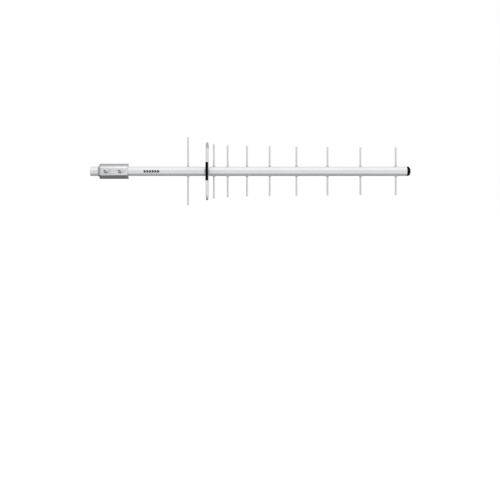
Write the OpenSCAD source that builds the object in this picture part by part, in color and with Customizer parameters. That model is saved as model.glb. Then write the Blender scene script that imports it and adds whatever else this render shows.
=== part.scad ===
// Ten-element yagi antenna for the 824 to 894 MHz band: a reflector, a folded dipole and eight
// directors on a round boom, held at its tail to a vertical mast by a U-bolt clamp.
// Origin: the mast's axis at the height of the boom's axis.
// +X runs along the boom towards the nose, +Z is up along the mast, and the boom is in front (-Y).

/* [Boom] */
// Outside diameter of the boom tube
boom_d = 25.4; // [25:0.1:26]
// Wall thickness of the boom tube
boom_wall = 1.2; // [1:0.1:1.6]
// Length of the boom tube
boom_l = 848.5; // [830:0.5:900]
// Length of boom behind the mast's axis
tail_l = 62; // [50:1:70]
// How far the nose cap stands out of the tube
cap_out = 10.8; // [8:0.1:12]

/* [Elements] */
// Diameter of the reflector and director rods
rod_d = 5; // [4.5:0.1:5.2]
// Distance from the mast's axis to the reflector
reflector_x = 199.5; // [195:0.5:203]
// Length of the reflector
reflector_l = 183; // [170:0.5:195]
// Outside diameter of a rod's bush
bush_d = 7; // [6.8:0.1:9]
// Height of a rod's bush above the boom
bush_h = 3; // [2:0.5:6]

/* [Folded dipole] */
// Distance from the mast's axis to the dipole
dipole_x = 251; // [250:0.5:256]
// Length of the dipole from end to end
dipole_l = 156; // [140:0.5:170]
// Distance between the dipole's two legs
dipole_depth = 36; // [35:0.5:38]
// Diameter of the dipole's rod
dipole_d = 6.35; // [6:0.05:6.5]
// Width of the feed block along the boom
feed_w = 7.2; // [7:0.1:9]
// Height of the feed block
feed_h = 48.4; // [46:0.1:56]

/* [Feed connector] */
// Distance from the mast's axis to the connector
connector_x = 226; // [222:0.5:228]
// Diameter of the connector's thread
connector_d = 15.88; // [15:0.01:16]
// Side of the connector's square flange
flange_w = 17.5; // [17:0.1:20]

/* [Mast clamp] */
// Diameter of the mast that the clamp holds
mast_d = 31.75; // [30:0.05:32]
// Diameter of the U-bolt's rod
bolt_d = 6; // [5.9:0.1:6]
// Length of the clamp along the boom
clamp_l = 78; // [74:1:90]
// Height of the mast bracket
bracket_h = 41; // [39:0.5:46]
// Thickness of the bracket's sheet steel
bracket_t = 2; // [1.5:0.1:2.2]
// Thickness of the front saddle's sheet steel
saddle_t = 1.5; // [1:0.1:2]
// Length of thread that stands out of each nut
thread_out = 8; // [6:0.5:14]

/* [Hidden] */
$fn = 64;
eps = 0.01;

// Directors, from the dipole outwards: the gap in front of each one, and its length
director_gap = [18, 37, 52, 61, 72, 83.5, 88.5, 95];
director_l = [146.5, 140, 135.5, 135, 133, 130.5, 128.5, 128.5];
function director_x(n) = (n == 0 ? dipole_x : director_x(n - 1)) + director_gap[n];
rod_x = concat([reflector_x], [for (n = [0:7]) director_x(n)]);

// Boom
boom_r = boom_d / 2;
boom_bore_r = boom_r - boom_wall;
mast_gap = 3;
fit = 0.05;
boom_y = -(mast_d / 2 + mast_gap + bracket_t + boom_r);
boom_front_y = boom_y - boom_r;
boom_back_y = boom_y + boom_r;
nose_x = boom_l - tail_l;

// Bush
bush_body_d = 6;

// Nose cap: a straight rim, a domed end and a ribbed plug inside the tube
cap_rim = 4.5;
cap_plug_l = 14;
cap_plug_r = boom_bore_r - 0.25;
cap_wall = 1.6;
cap_rib = 1.5;
cap_steps = 16;

// Folded dipole
loop_r = dipole_depth / 2;
leg_front_y = boom_y - loop_r;
leg_rear_y = boom_y + loop_r;
bend_z = dipole_l / 2 - dipole_d / 2 - loop_r;
spigot_d = 5;
feed_gap = 12;

// Feed block: two half shells that meet on the front leg's axis
feed_front_y = leg_front_y - 4.4;
feed_rear_y = leg_front_y + 3.6;
feed_corner = 1.4;
feed_cavity = [4.8, 5.2, feed_gap + 0.4];
feed_boss_d = 5;
feed_boss_end_y = boom_front_y + 2.8;
feed_screw_z = 19;
feed_screw_d = 2.5;
feed_head_d = 4.5;
feed_head_h = 1.6;

// Saddle under the feed block
feed_saddle_w = 20;
feed_saddle_h = 13;
saddle_screw_x = 7.2;

// Clip for the rear leg
clip_w = 13;
clip_h = 12;
clip_wall = 2.2;
clip_mouth = 5;
clip_seat_y = leg_rear_y - dipole_d / 2 - 0.1;

// Connector: distances are along +Y from the boom's back
seat_w = 22;
seat_h = 21;
seat_t = 3.5;
flange_t = 2;
neck_d = 13;
neck_l = 3;
thread_l = 11;
socket_d = 8.1;
socket_l = 9;
dielectric_d = 7;
spigot_out_d = 8.8;
contact_d = 3;
contact_back = 4.8;
flange_y = boom_back_y + seat_t;
barrel_y = flange_y + flange_t + neck_l;
mouth_y = barrel_y + thread_l;
socket_y = mouth_y - socket_l;
shell_end_y = boom_back_y - 1.8;
dielectric_end_y = boom_back_y - 0.2;
flange_hole = 6.35;
flange_screw_d = 2.5;

// Coax inside the boom, from the feed block to the connector
coax_d = 2.6;
coax_sides = 10;
coax_bend = 9;
coax_steps = 10;
coax_a_y = leg_front_y + 1.2;
coax_b_y = boom_back_y - 0.6;

// Clamp
bolt_r = bolt_d / 2;
bolt_hole_r = bolt_r + 0.25;
leg_x = mast_d / 2 + bolt_r + 0.125;
notch_r = mast_d / 2 + 0.025;
notch_half_angle = 65;
flange_end_y = -notch_r * cos(notch_half_angle);
bracket_front_y = boom_y - 1;
trough_r = boom_r + fit;
wing_cut = bracket_h / 2 - trough_r - 1.6;
taper_y = -26;
taper_w = 8.4;
saddle_gap = 0.1;
saddle_half = boom_r + saddle_gap + saddle_t;
saddle_corner = 8;
saddle_lift = 2.5;
saddle_face_y = boom_y - boom_r - saddle_t;
washer_t = 1.6;
washer_d = 12;
spring_d = 10.8;
spring_slot = 1.2;
nut_h = 5;
nut_af = 10;
nut_seat_y = saddle_face_y - 2 * washer_t - fit;
bolt_end_y = nut_seat_y - nut_h - thread_out;

// ---------------------------------------------------------------- helpers

// A cylinder along +Y from y0 to y1
module rod_y(y0, y1, d) {
    translate([0, y0, 0]) rotate([-90, 0, 0]) cylinder(h = y1 - y0, d = d);
}

// A cylinder along +Z from z0 to z1
module rod_z(z0, z1, d) {
    translate([0, 0, z0]) cylinder(h = z1 - z0, d = d);
}

// A profile drawn in (Y, Z), pushed along X and centred on x = 0
module along_x(length) {
    translate([-length / 2, 0, 0]) rotate([90, 0, 90]) linear_extrude(height = length) children();
}

// A solid round bar on the boom's axis, from x0 to x1
module boom_bar(x0, x1, d) {
    translate([x0, boom_y, 0]) rotate([0, 90, 0]) cylinder(h = x1 - x0, d = d);
}

// Pan-head screw along Y: its head stands out of the face at y, way +1 or -1, and its shank runs
// the other way for shank_l
module pan_screw(y, head_d, head_h, shank_d, shank_l, way) {
    rod_y(min(y, y + way * head_h), max(y, y + way * head_h), head_d);
    rod_y(min(y, y - way * shank_l), max(y, y - way * shank_l), shank_d);
}

// Repeats a piece on the U-bolt's two legs
module at_bolt_legs() {
    for (side = [-1, 1]) translate([side * leg_x, 0, 0]) children();
}

// ---------------------------------------------------------------- boom

module boom_tube() {
    color("#e4e5e8") difference() {
        boom_bar(-tail_l, nose_x, boom_d);
        boom_bar(-tail_l - 1, nose_x + 1, boom_d - 2 * boom_wall);
        for (x = rod_x)
            translate([x, boom_y, 0]) rod_z(-boom_r - 1, boom_r + 1, bush_body_d);
        at_bolt_legs() rod_y(boom_front_y - 1, boom_back_y + 1, 2 * bolt_hole_r);
        translate([dipole_x, 0, 0]) rod_y(boom_front_y - 1, boom_y, feed_boss_d);
        for (side = [-1, 1])
            translate([dipole_x + side * saddle_screw_x, 0, 0]) rod_y(boom_front_y - 1, boom_y, 2.2);
        translate([dipole_x, 0, 0]) rod_y(boom_y, boom_back_y + 1, 2.9);
        translate([connector_x, 0, 0]) rod_y(boom_y, boom_back_y + 1, spigot_out_d + 0.2);
        for (side = [-1, 1], up = [-1, 1])
            translate([connector_x + side * flange_hole, 0, up * flange_hole])
                rod_y(boom_y, boom_back_y + 1, flange_screw_d);
    }
}

// Outline of the cap in (radius, height above the tube's end)
function cap_outline() = concat(
    [[0, 0], [boom_r, 0]],
    [for (i = [0:cap_steps]) let (a = 90 * i / cap_steps)
        [boom_r * cos(a), cap_rim + (cap_out - cap_rim) * sin(a)]]
);

module nose_cap() {
    color("#161616") translate([nose_x, boom_y, 0]) rotate([0, 90, 0]) {
        rotate_extrude() polygon(cap_outline());
        difference() {
            union() {
                translate([0, 0, -cap_plug_l]) cylinder(h = cap_plug_l + eps, r = cap_plug_r);
                for (i = [1:3])
                    translate([0, 0, -i * cap_plug_l / 4]) cylinder(h = cap_rib, r = boom_bore_r);
            }
            translate([0, 0, -cap_plug_l - 1]) cylinder(h = cap_plug_l + 1, r = cap_plug_r - cap_wall);
        }
    }
}

// ---------------------------------------------------------------- elements

module rod(x, length) {
    color("#d6d7da") translate([x, boom_y, 0]) rod_z(-length / 2, length / 2, rod_d);
}

module reflector() {
    rod(reflector_x, reflector_l);
}

module director(n) {
    rod(director_x(n), director_l[n]);
}

// A flanged bush: its flange sits on the boom and its body fills the hole in the wall
module bush() {
    difference() {
        union() {
            difference() {
                rod_z(boom_r - 1, boom_r + bush_h, bush_d);
                translate([-bush_d, 0, 0]) rotate([0, 90, 0]) cylinder(h = 2 * bush_d, r = boom_r);
            }
            rod_z(boom_bore_r - 0.6, boom_r + eps, bush_body_d);
        }
        rod_z(0, boom_r + bush_h + 1, rod_d);
    }
}

module element_bushes() {
    color("#c4c6ca")
        for (x = rod_x, flip = [0, 180])
            translate([x, boom_y, 0]) rotate([flip, 0, 0]) bush();
}

// ---------------------------------------------------------------- folded dipole

module dipole_end() {
    translate([0, 0, bend_z]) rotate([90, 0, 90])
        rotate_extrude(angle = 180) translate([loop_r, 0]) circle(d = dipole_d);
}

module dipole_loop() {
    color("#d6d7da") translate([dipole_x, 0, 0]) difference() {
        union() {
            translate([0, boom_y, 0]) dipole_end();
            translate([0, boom_y, 0]) rotate([180, 0, 0]) dipole_end();
            translate([0, leg_rear_y, 0]) rod_z(-bend_z, bend_z, dipole_d);
            for (flip = [0, 180]) translate([0, leg_front_y, 0]) rotate([flip, 0, 0]) {
                rod_z(feed_h / 2, bend_z, dipole_d);
                rod_z(feed_gap / 2, feed_h / 2 + eps, spigot_d);
            }
        }
        for (up = [-1, 1])
            translate([0, 0, up * feed_screw_z]) rod_y(feed_front_y, feed_rear_y + 1, feed_screw_d);
        for (flip = [0, 180]) translate([0, leg_front_y, 0]) rotate([flip, 0, 0])
            rod_z(feed_gap / 2 - 1, feed_gap / 2 + 3, 2);
    }
}

// ---------------------------------------------------------------- feed block

// The whole block's outside, before it is split: rounded along its four upright edges
module feed_body() {
    depth = feed_rear_y - feed_front_y;
    translate([-feed_w / 2, feed_front_y, -feed_h / 2]) linear_extrude(height = feed_h) {
        translate([feed_corner, 0]) square([feed_w - 2 * feed_corner, depth]);
        translate([0, feed_corner]) square([feed_w, depth - 2 * feed_corner]);
        for (x = [feed_corner, feed_w - feed_corner], y = [feed_corner, depth - feed_corner])
            translate([x, y]) circle(r = feed_corner);
    }
}

// What the two halves close round: the dipole's ends and the space for the joints
module feed_hollow() {
    translate([0, leg_front_y, 0]) rod_z(-feed_h / 2 - 1, feed_h / 2 + 1, spigot_d);
    translate([0, leg_front_y, 0]) cube(feed_cavity, center = true);
    for (up = [-1, 1])
        translate([0, 0, up * feed_screw_z]) rod_y(feed_front_y + 1.4, feed_rear_y + 1, feed_screw_d);
}

module feed_block_front() {
    color("#101010") translate([dipole_x, 0, 0]) difference() {
        feed_body();
        feed_hollow();
        translate([-feed_w, leg_front_y, -feed_h]) cube([2 * feed_w, 20, 2 * feed_h]);
    }
}

module feed_block_rear() {
    color("#101010") translate([dipole_x, 0, 0]) difference() {
        union() {
            feed_body();
            rod_y(feed_rear_y - 1, feed_boss_end_y, feed_boss_d);
        }
        feed_hollow();
        rod_y(leg_front_y, feed_boss_end_y + 1, coax_d + 0.2);
        translate([-feed_w, leg_front_y - 20, -feed_h]) cube([2 * feed_w, 20, 2 * feed_h]);
    }
}

module feed_block_screws() {
    color("#b9bcc0")
        for (up = [-1, 1])
            translate([dipole_x, 0, up * feed_screw_z])
                pan_screw(feed_rear_y, feed_head_d, feed_head_h, feed_screw_d,
                    feed_rear_y - feed_front_y - 1.6, 1);
}

// A solder tag on the end of each half of the dipole, with a pin in the rod's end
module feed_terminals() {
    color("#c9a24b")
        for (flip = [0, 180])
            translate([dipole_x, leg_front_y, 0]) rotate([flip, 0, 0]) {
                rod_z(feed_gap / 2 - 0.8, feed_gap / 2, 4.4);
                rod_z(feed_gap / 2 - eps, feed_gap / 2 + 3, 2);
            }
}

// ---------------------------------------------------------------- coax inside the boom

// Centre line: out of the feed block along +Y, along the boom towards the tail, out along +Y
function coax_route() = concat(
    [[dipole_x, coax_a_y, 0]],
    [for (i = [0:coax_steps]) let (a = 90 * i / coax_steps)
        [dipole_x - coax_bend * (1 - cos(a)), boom_y - coax_bend * (1 - sin(a)), 0]],
    [for (i = [0:coax_steps]) let (a = 90 * i / coax_steps)
        [connector_x + coax_bend * (1 - sin(a)), boom_y + coax_bend * (1 - cos(a)), 0]],
    [[connector_x, coax_b_y, 0]]
);

// Direction of the route at point i, level because the whole route is at one height
function coax_dir(r, i) =
    let (a = r[max(i - 1, 0)], b = r[min(i + 1, len(r) - 1)], d = b - a) d / norm(d);

module coax_tube() {
    r = coax_route();
    n = len(r);
    k = coax_sides;
    rings = [for (i = [0:n - 1]) let (d = i == 0 || i == n - 1 ? [0, 1, 0] : coax_dir(r, i))
        for (j = [0:k - 1]) let (a = 360 * j / k)
            r[i] + coax_d / 2 * (cos(a) * [d[1], -d[0], 0] + sin(a) * [0, 0, 1])];
    walls = [for (i = [0:n - 2], j = [0:k - 1])
        [i * k + j, i * k + (j + 1) % k, (i + 1) * k + (j + 1) % k, (i + 1) * k + j]];
    start = [for (j = [k - 1:-1:0]) j];
    end = [for (j = [0:k - 1]) (n - 1) * k + j];
    polyhedron(points = rings, faces = concat([start], walls, [end]));
}

// The coax, and its two bare ends turned up and down to the dipole's tags
module feed_pigtail() {
    color("#2b2b2b") coax_tube();
    color("#b87333")
        for (flip = [0, 180])
            translate([dipole_x, coax_a_y - 0.5, 0]) rotate([flip, 0, 0])
                rod_z(0.4, feed_gap / 2 - 0.8, 0.8);
}

// ---------------------------------------------------------------- feed saddle and loop clip

module feed_saddle() {
    color("#dcdde0") difference() {
        translate([dipole_x - feed_saddle_w / 2, feed_rear_y, -feed_saddle_h / 2])
            cube([feed_saddle_w, boom_y - feed_rear_y, feed_saddle_h]);
        boom_bar(dipole_x - feed_saddle_w, dipole_x + feed_saddle_w, boom_d);
        translate([dipole_x, 0, 0]) rod_y(feed_rear_y - 1, boom_y, feed_boss_d);
        for (side = [-1, 1])
            translate([dipole_x + side * saddle_screw_x, 0, 0]) rod_y(feed_rear_y - 1, boom_y, 2.2);
    }
}

module feed_saddle_screws() {
    color("#b9bcc0")
        for (side = [-1, 1])
            translate([dipole_x + side * saddle_screw_x, 0, 0])
                pan_screw(feed_rear_y, 4.6, 1.5, 2.2, 5.2, -1);
}

// A snap-in pipe clip behind the boom, with its mouth to the rear
module loop_clip() {
    clip_back_y = leg_rear_y + dipole_d / 2 + 1;
    clip_r = dipole_d / 2 + 0.02;
    color("#dcdde0") difference() {
        union() {
            translate([dipole_x - clip_r - clip_wall, boom_y, -clip_h / 2])
                cube([2 * (clip_r + clip_wall), clip_back_y - boom_y, clip_h]);
            translate([dipole_x - clip_w / 2, boom_y, -clip_h / 2])
                cube([clip_w, boom_r + 1.4, clip_h]);
        }
        boom_bar(dipole_x - clip_w, dipole_x + clip_w, boom_d);
        translate([dipole_x, leg_rear_y, 0]) rod_z(-clip_h, clip_h, 2 * clip_r);
        translate([dipole_x - clip_mouth / 2, leg_rear_y, -clip_h]) cube([clip_mouth, 20, 2 * clip_h]);
        translate([dipole_x, 0, 0]) rod_y(boom_y, leg_rear_y, 2.9);
        translate([dipole_x, clip_seat_y - 1.3, 0]) rotate([-90, 0, 0])
            cylinder(h = 1.3, d1 = 2.9, d2 = 5.5);
        translate([dipole_x, 0, 0]) rod_y(clip_seat_y, leg_rear_y, 5.5);
    }
}

// Countersunk screw under the rear leg
module loop_clip_screw() {
    color("#b9bcc0") translate([dipole_x, clip_seat_y, 0]) rotate([90, 0, 0]) {
        cylinder(h = 1.3, d1 = 5.5, d2 = 2.9);
        cylinder(h = 6, d = 2.9);
    }
}

// ---------------------------------------------------------------- connector

module at_flange_holes() {
    for (side = [-1, 1], up = [-1, 1])
        translate([connector_x + side * flange_hole, 0, up * flange_hole]) children();
}

module connector_seat() {
    color("#1c1c1c") difference() {
        translate([connector_x - seat_w / 2, boom_y + boom_r / 2, -seat_h / 2])
            cube([seat_w, flange_y - boom_y - boom_r / 2, seat_h]);
        boom_bar(connector_x - seat_w, connector_x + seat_w, boom_d);
        translate([connector_x, 0, 0]) rod_y(boom_y, flange_y + 1, spigot_out_d + 0.2);
        at_flange_holes() rod_y(boom_y, flange_y + 1, flange_screw_d);
    }
}

module connector_shell() {
    color("#b7b2a6") difference() {
        union() {
            translate([connector_x - flange_w / 2, flange_y, -flange_w / 2])
                cube([flange_w, flange_t, flange_w]);
            translate([connector_x, 0, 0]) {
                rod_y(shell_end_y, flange_y + eps, spigot_out_d);
                rod_y(flange_y + flange_t - eps, barrel_y + eps, neck_d);
                rod_y(barrel_y, mouth_y, connector_d);
            }
        }
        at_flange_holes() rod_y(flange_y - 1, flange_y + flange_t + 0.2, flange_screw_d);
        translate([connector_x, 0, 0]) {
            rod_y(socket_y, mouth_y + 1, socket_d);
            rod_y(dielectric_end_y, socket_y + 1, dielectric_d);
            rod_y(shell_end_y - 1, dielectric_end_y + 1, 4);
        }
    }
}

module connector_insulator() {
    color("#f2f2ee") translate([connector_x, 0, 0]) difference() {
        rod_y(dielectric_end_y, socket_y, dielectric_d);
        rod_y(dielectric_end_y - 1, socket_y + 1, contact_d);
    }
}

module connector_contact() {
    color("#d4af37") translate([connector_x, 0, 0]) difference() {
        rod_y(dielectric_end_y, mouth_y - contact_back, contact_d);
        rod_y(mouth_y - contact_back - 5, mouth_y, 1.65);
    }
}

module connector_screws() {
    color("#b9bcc0") at_flange_holes()
        pan_screw(flange_y + flange_t, 4.4, 1.5, flange_screw_d, 10.5, 1);
}

// ---------------------------------------------------------------- mast clamp

// U-shaped section open to +Y: half is its half height, r the radius of its two front corners
module u_section(front_y, back_y, half, r) {
    translate([front_y + r, -half]) square([back_y - front_y - r, 2 * half]);
    translate([front_y, -half + r]) square([r + eps, 2 * (half - r)]);
    for (up = [-1, 1]) intersection() {
        translate([front_y + r, up * (half - r)]) circle(r = r);
        translate([front_y, -half]) square([r + eps, 2 * half]);
    }
}

// Pressed saddle in front of the boom, with a flat for the washers
module clamp_saddle() {
    color("#b4b6ba") difference() {
        along_x(clamp_l) difference() {
            u_section(saddle_face_y, boom_y - saddle_lift, saddle_half, saddle_corner);
            u_section(saddle_face_y + saddle_t, boom_y, saddle_half - saddle_t, saddle_corner - saddle_t);
        }
        at_bolt_legs() rod_y(saddle_face_y - 1, boom_y, 2 * bolt_hole_r);
    }
}

// Outline of the bracket, open to +Y, whose two front corners are cut at 45 degrees
module bracket_outline(front_y, back_y, half, cut) {
    polygon([
        [front_y, cut - half], [front_y, half - cut], [front_y + cut, half],
        [back_y, half], [back_y, -half], [front_y + cut, -half]
    ]);
}

// What is cut off the flanges' ends, so that they narrow towards the mast
module flange_tapers() {
    for (flip = [0, 180]) rotate([0, flip, 0]) translate([clamp_l / 2, 0, -bracket_h])
        linear_extrude(height = 2 * bracket_h)
            polygon([[0, taper_y], [2, taper_y], [2, 1], [-taper_w, 1]]);
}

// Pressed bracket behind the boom: two flanges notched for the mast, two sloping wings, and a
// trough for the boom
module mast_bracket() {
    inner_cut = wing_cut - bracket_t * (2 - sqrt(2));
    color("#aeb0b4") difference() {
        union() {
            along_x(clamp_l) difference() {
                bracket_outline(bracket_front_y, flange_end_y, bracket_h / 2, wing_cut);
                bracket_outline(bracket_front_y + bracket_t, 0, bracket_h / 2 - bracket_t, inner_cut);
            }
            difference() {
                boom_bar(-clamp_l / 2, clamp_l / 2, 2 * (trough_r + bracket_t));
                translate([-clamp_l, boom_y - bracket_h, -bracket_h])
                    cube([2 * clamp_l, bracket_h, 2 * bracket_h]);
            }
        }
        boom_bar(-clamp_l, clamp_l, 2 * trough_r);
        translate([-clamp_l, boom_y - bracket_h, -trough_r]) cube([2 * clamp_l, bracket_h, 2 * trough_r]);
        rod_z(-bracket_h, bracket_h, 2 * notch_r);
        at_bolt_legs() rod_y(boom_y, 0, 2 * bolt_hole_r);
        flange_tapers();
    }
}

module u_bolt() {
    color("#b9bcc0") {
        rotate_extrude(angle = 180) translate([leg_x, 0]) circle(r = bolt_r);
        at_bolt_legs() rod_y(bolt_end_y, 0, bolt_d);
    }
}

module flat_washers() {
    color("#c2c4c8") at_bolt_legs() difference() {
        rod_y(saddle_face_y - washer_t, saddle_face_y, washer_d);
        rod_y(saddle_face_y - washer_t - 1, saddle_face_y + 1, bolt_d + 0.4);
    }
}

module spring_washers() {
    color("#9fa2a6") at_bolt_legs() difference() {
        rod_y(saddle_face_y - 2 * washer_t, saddle_face_y - washer_t, spring_d);
        rod_y(saddle_face_y - 2 * washer_t - 1, saddle_face_y, bolt_d + 0.4);
        translate([-spring_slot / 2, saddle_face_y - 2 * washer_t - 1, 0])
            cube([spring_slot, 2 * washer_t, spring_d]);
    }
}

// Hexagon nut on one leg of the U-bolt
module nut(side) {
    color("#c2c4c8") translate([side * leg_x, 0, 0]) difference() {
        translate([0, nut_seat_y, 0]) rotate([90, 30, 0])
            cylinder(h = nut_h, d = nut_af / cos(30), $fn = 6);
        rod_y(nut_seat_y - nut_h - 1, nut_seat_y + 1, bolt_d + 2 * fit);
    }
}

// ---------------------------------------------------------------- assembly

boom_tube();
nose_cap();
element_bushes();
reflector();
director(0);  // director_1
director(1);  // director_2
director(2);  // director_3
director(3);  // director_4
director(4);  // director_5
director(5);  // director_6
director(6);  // director_7
director(7);  // director_8
dipole_loop();
feed_block_front();
feed_block_rear();
feed_block_screws();
feed_terminals();
feed_pigtail();
feed_saddle();
feed_saddle_screws();
loop_clip();
loop_clip_screw();
connector_seat();
connector_shell();
connector_insulator();
connector_contact();
connector_screws();
clamp_saddle();
mast_bracket();
u_bolt();
flat_washers();
spring_washers();
nut(-1);  // nut_left
nut(1);  // nut_right
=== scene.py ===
"""Looks of the ten-element yagi antenna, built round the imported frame. Shapes are in millimetres.

+X runs along the boom to its nose, +Z is up, and -Y is the side that the camera sees.
Cutters run a few millimetres past the surfaces that they open.
"""
import math

import bmesh
import bpy
from mathutils import Matrix, Vector


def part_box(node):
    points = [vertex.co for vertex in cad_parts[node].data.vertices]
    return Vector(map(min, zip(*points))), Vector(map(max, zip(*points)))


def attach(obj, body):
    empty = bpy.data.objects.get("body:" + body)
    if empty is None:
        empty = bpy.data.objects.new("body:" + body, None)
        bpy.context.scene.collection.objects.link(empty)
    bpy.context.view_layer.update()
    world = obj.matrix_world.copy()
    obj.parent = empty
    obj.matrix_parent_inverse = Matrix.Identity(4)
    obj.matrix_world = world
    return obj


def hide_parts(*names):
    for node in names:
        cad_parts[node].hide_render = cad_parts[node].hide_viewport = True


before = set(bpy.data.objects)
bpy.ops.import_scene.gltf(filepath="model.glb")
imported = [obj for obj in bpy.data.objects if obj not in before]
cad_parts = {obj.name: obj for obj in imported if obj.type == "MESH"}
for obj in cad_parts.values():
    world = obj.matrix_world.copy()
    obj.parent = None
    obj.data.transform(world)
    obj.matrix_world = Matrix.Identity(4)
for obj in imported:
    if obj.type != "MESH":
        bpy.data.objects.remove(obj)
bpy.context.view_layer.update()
scene = bpy.context.scene
PI = math.pi
BOTH = (-1, 1)
SQUARE = ((-1, -1), (1, -1), (1, 1), (-1, 1))
TO_NOSE, TO_BACK, TO_FRONT = (1, 0, 0), (0, 1, 0), (0, -1, 0)


def cad(node):
    """Lowest and highest corner of a CAD node, in millimetres."""
    low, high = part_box(node)
    return low * 1000, high * 1000


# ------------------------------------------------------------------ measures read from the frame

low, high = cad("boom_tube")
BOOM_X0, BOOM_X1 = low.x, high.x
BOOM_Y, BOOM_R = (low.y + high.y) / 2, (high.z - low.z) / 2
ELEMENTS = ["reflector"] + [f"director_{n}" for n in range(1, 9)]
ROD_X = [(cad(n)[0].x + cad(n)[1].x) / 2 for n in ELEMENTS]
low, high = cad("dipole_loop")
DIPOLE_X, DIPOLE_R, DIPOLE_TOP = (low.x + high.x) / 2, (high.x - low.x) / 2, high.z
low, high = cad("feed_block_front")
FEED_X0, FEED_X1 = DIPOLE_X - (high.x - low.x) / 2, DIPOLE_X + (high.x - low.x) / 2
FEED_Y0, FEED_Y1 = low.y, cad("feed_saddle")[0].y
FEED_HALF = (high.z - low.z) / 2
low, high = cad("connector_shell")
CONN_X, CONN_END_Y, MOUTH_Y, FLANGE_W = (low.x + high.x) / 2, low.y, high.y, high.x - low.x
FLANGE_Y = cad("connector_seat")[1].y
low, high = cad("clamp_saddle")
CLAMP_L, SADDLE_Y, SADDLE_BACK_Y, SADDLE_HALF = high.x - low.x, low.y, high.y, high.z
low, high = cad("mast_bracket")
BRACKET_Y0, BRACKET_Y1, BRACKET_HALF = low.y, high.y, high.z

# ------------------------------------------------------------------ measures set in the CAD's source

BORE_R = BOOM_R - 1.2
BUSH_HOLE_R = 3.0
LOOP_R = 18.0
LEG_FRONT_Y, LEG_REAR_Y = BOOM_Y - LOOP_R, BOOM_Y + LOOP_R
SPIGOT_R = 2.5
BLOCK_SCREWS = (-19, 19)
BLOCK_SCREW_R = 1.25
SEAT_SCREWS = (-7.2, 7.2)
SEAT_SCREW_R = 1.1
BOSS_R = 2.5
CLIP_SCREW_R = 1.45
BARREL_Y = FLANGE_Y + 5
FLANGE_T = 2
SOCKET_BORE_R = 4.5
SOCKET_SCREW, SOCKET_SCREW_R = 6.35, 1.25
SOCKET_SPOTS = [(CONN_X + s * SOCKET_SCREW, u * SOCKET_SCREW) for s in BOTH for u in BOTH]
MAST_R = 15.9
BOLT_R, BOLT_HOLE_R = 3.0, 3.25
low, high = cad("u_bolt")
BOLT_END_Y, LEG_X = low.y, (high.x - low.x) / 2 - BOLT_R


# ------------------------------------------------------------------ mesh code

def aim(bm, direction, at):
    """Turns what was drawn along +Z to a direction, and puts its origin at a point."""
    turn = Vector((0, 0, 1)).rotation_difference(Vector(direction)).to_matrix().to_4x4()
    bm.transform(Matrix.Translation(at) @ turn)
    return bm


def skin(bm, rings):
    """Makes a row of rings of vertices one closed solid, with a flat face at each end."""
    bm.faces.new(rings[0])
    bm.faces.new(rings[-1])
    for a, b in zip(rings, rings[1:]):
        for k in range(len(a)):
            n = (k + 1) % len(a)
            bm.faces.new((a[k], a[n], b[n], b[k]))
    bmesh.ops.recalc_face_normals(bm, faces=bm.faces)
    return bm


def lathe(profile, sides=48):
    """Turns a closed outline of (radius, height) points about +Z."""
    bm = bmesh.new()
    turns = [2 * PI * k / sides for k in range(sides)]
    rings = []
    for r, h in profile:
        if r < 1e-6:
            rings.append([bm.verts.new((0, 0, h))] * sides)
        else:
            rings.append([bm.verts.new((r * math.cos(t), r * math.sin(t), h)) for t in turns])
    for a, b in zip(rings, rings[1:] + rings[:1]):
        if a[0] is a[1] and b[0] is b[1]:
            continue
        for k in range(sides):
            n = (k + 1) % sides
            corners = []
            for v in (a[k], a[n], b[n], b[k]):
                if v not in corners:
                    corners.append(v)
            bm.faces.new(corners)
    bmesh.ops.recalc_face_normals(bm, faces=bm.faces)
    return bm


def prism(outline, h0, h1):
    """A flat outline of (y, z) points pushed along X from h0 to h1. Its ends stay one face each."""
    bm = bmesh.new()
    outline = [p for k, p in enumerate(outline) if math.dist(p, outline[k - 1]) > 0.02]
    return skin(bm, [[bm.verts.new((h, y, z)) for y, z in outline] for h in (h0, h1)])


def block(low, high):
    """A box between two corners."""
    corners = [(low[1], low[2]), (high[1], low[2]), (high[1], high[2]), (low[1], high[2])]
    return prism(corners, low[0], high[0])


def bar(a, b, radius, sides=48):
    """A round bar from a to b."""
    a, b = Vector(a), Vector(b)
    length = (b - a).length
    return aim(lathe([(0, 0), (radius, 0), (radius, length), (0, length)], sides), b - a, a)


def drill(x, y0, y1, radius, sides=48, z=0):
    """A round bar from front to back, to cut a hole with."""
    return bar((x, y0, z), (x, y1, z), radius, sides)


def around_boom(x0, x1):
    """The boom's outside between two places, for what sits on it."""
    return bar((x0, BOOM_Y, 0), (x1, BOOM_Y, 0), BOOM_R, 128)


def arc(centre, radius, start, end, steps):
    """Points of an arc, from start to end in degrees."""
    turns = [math.radians(start + (end - start) * k / steps) for k in range(steps + 1)]
    return [(centre[0] + radius * math.cos(t), centre[1] + radius * math.sin(t)) for t in turns]


def rounded(corners, steps=6):
    """An outline from (y, z, corner radius) points."""
    out = []
    for k, (y, z, r) in enumerate(corners):
        here = Vector((y, z))
        if r == 0:
            out.append((y, z))
            continue
        before = (Vector(corners[k - 1][:2]) - here).normalized()
        after = (Vector(corners[(k + 1) % len(corners)][:2]) - here).normalized()
        half = before.angle(after) / 2
        middle = here + (before + after).normalized() * (r / math.sin(half))
        start = here + before * (r / math.tan(half)) - middle
        swing = start.angle_signed(here + after * (r / math.tan(half)) - middle)
        for s in range(steps + 1):
            p = start.copy()
            p.rotate(Matrix.Rotation(-swing * s / steps, 2))
            out.append(tuple(middle + p))
    return out


def length_of(path):
    """Length of a path of points."""
    return sum((Vector(a) - Vector(b)).length for a, b in zip(path, path[1:]))


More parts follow.
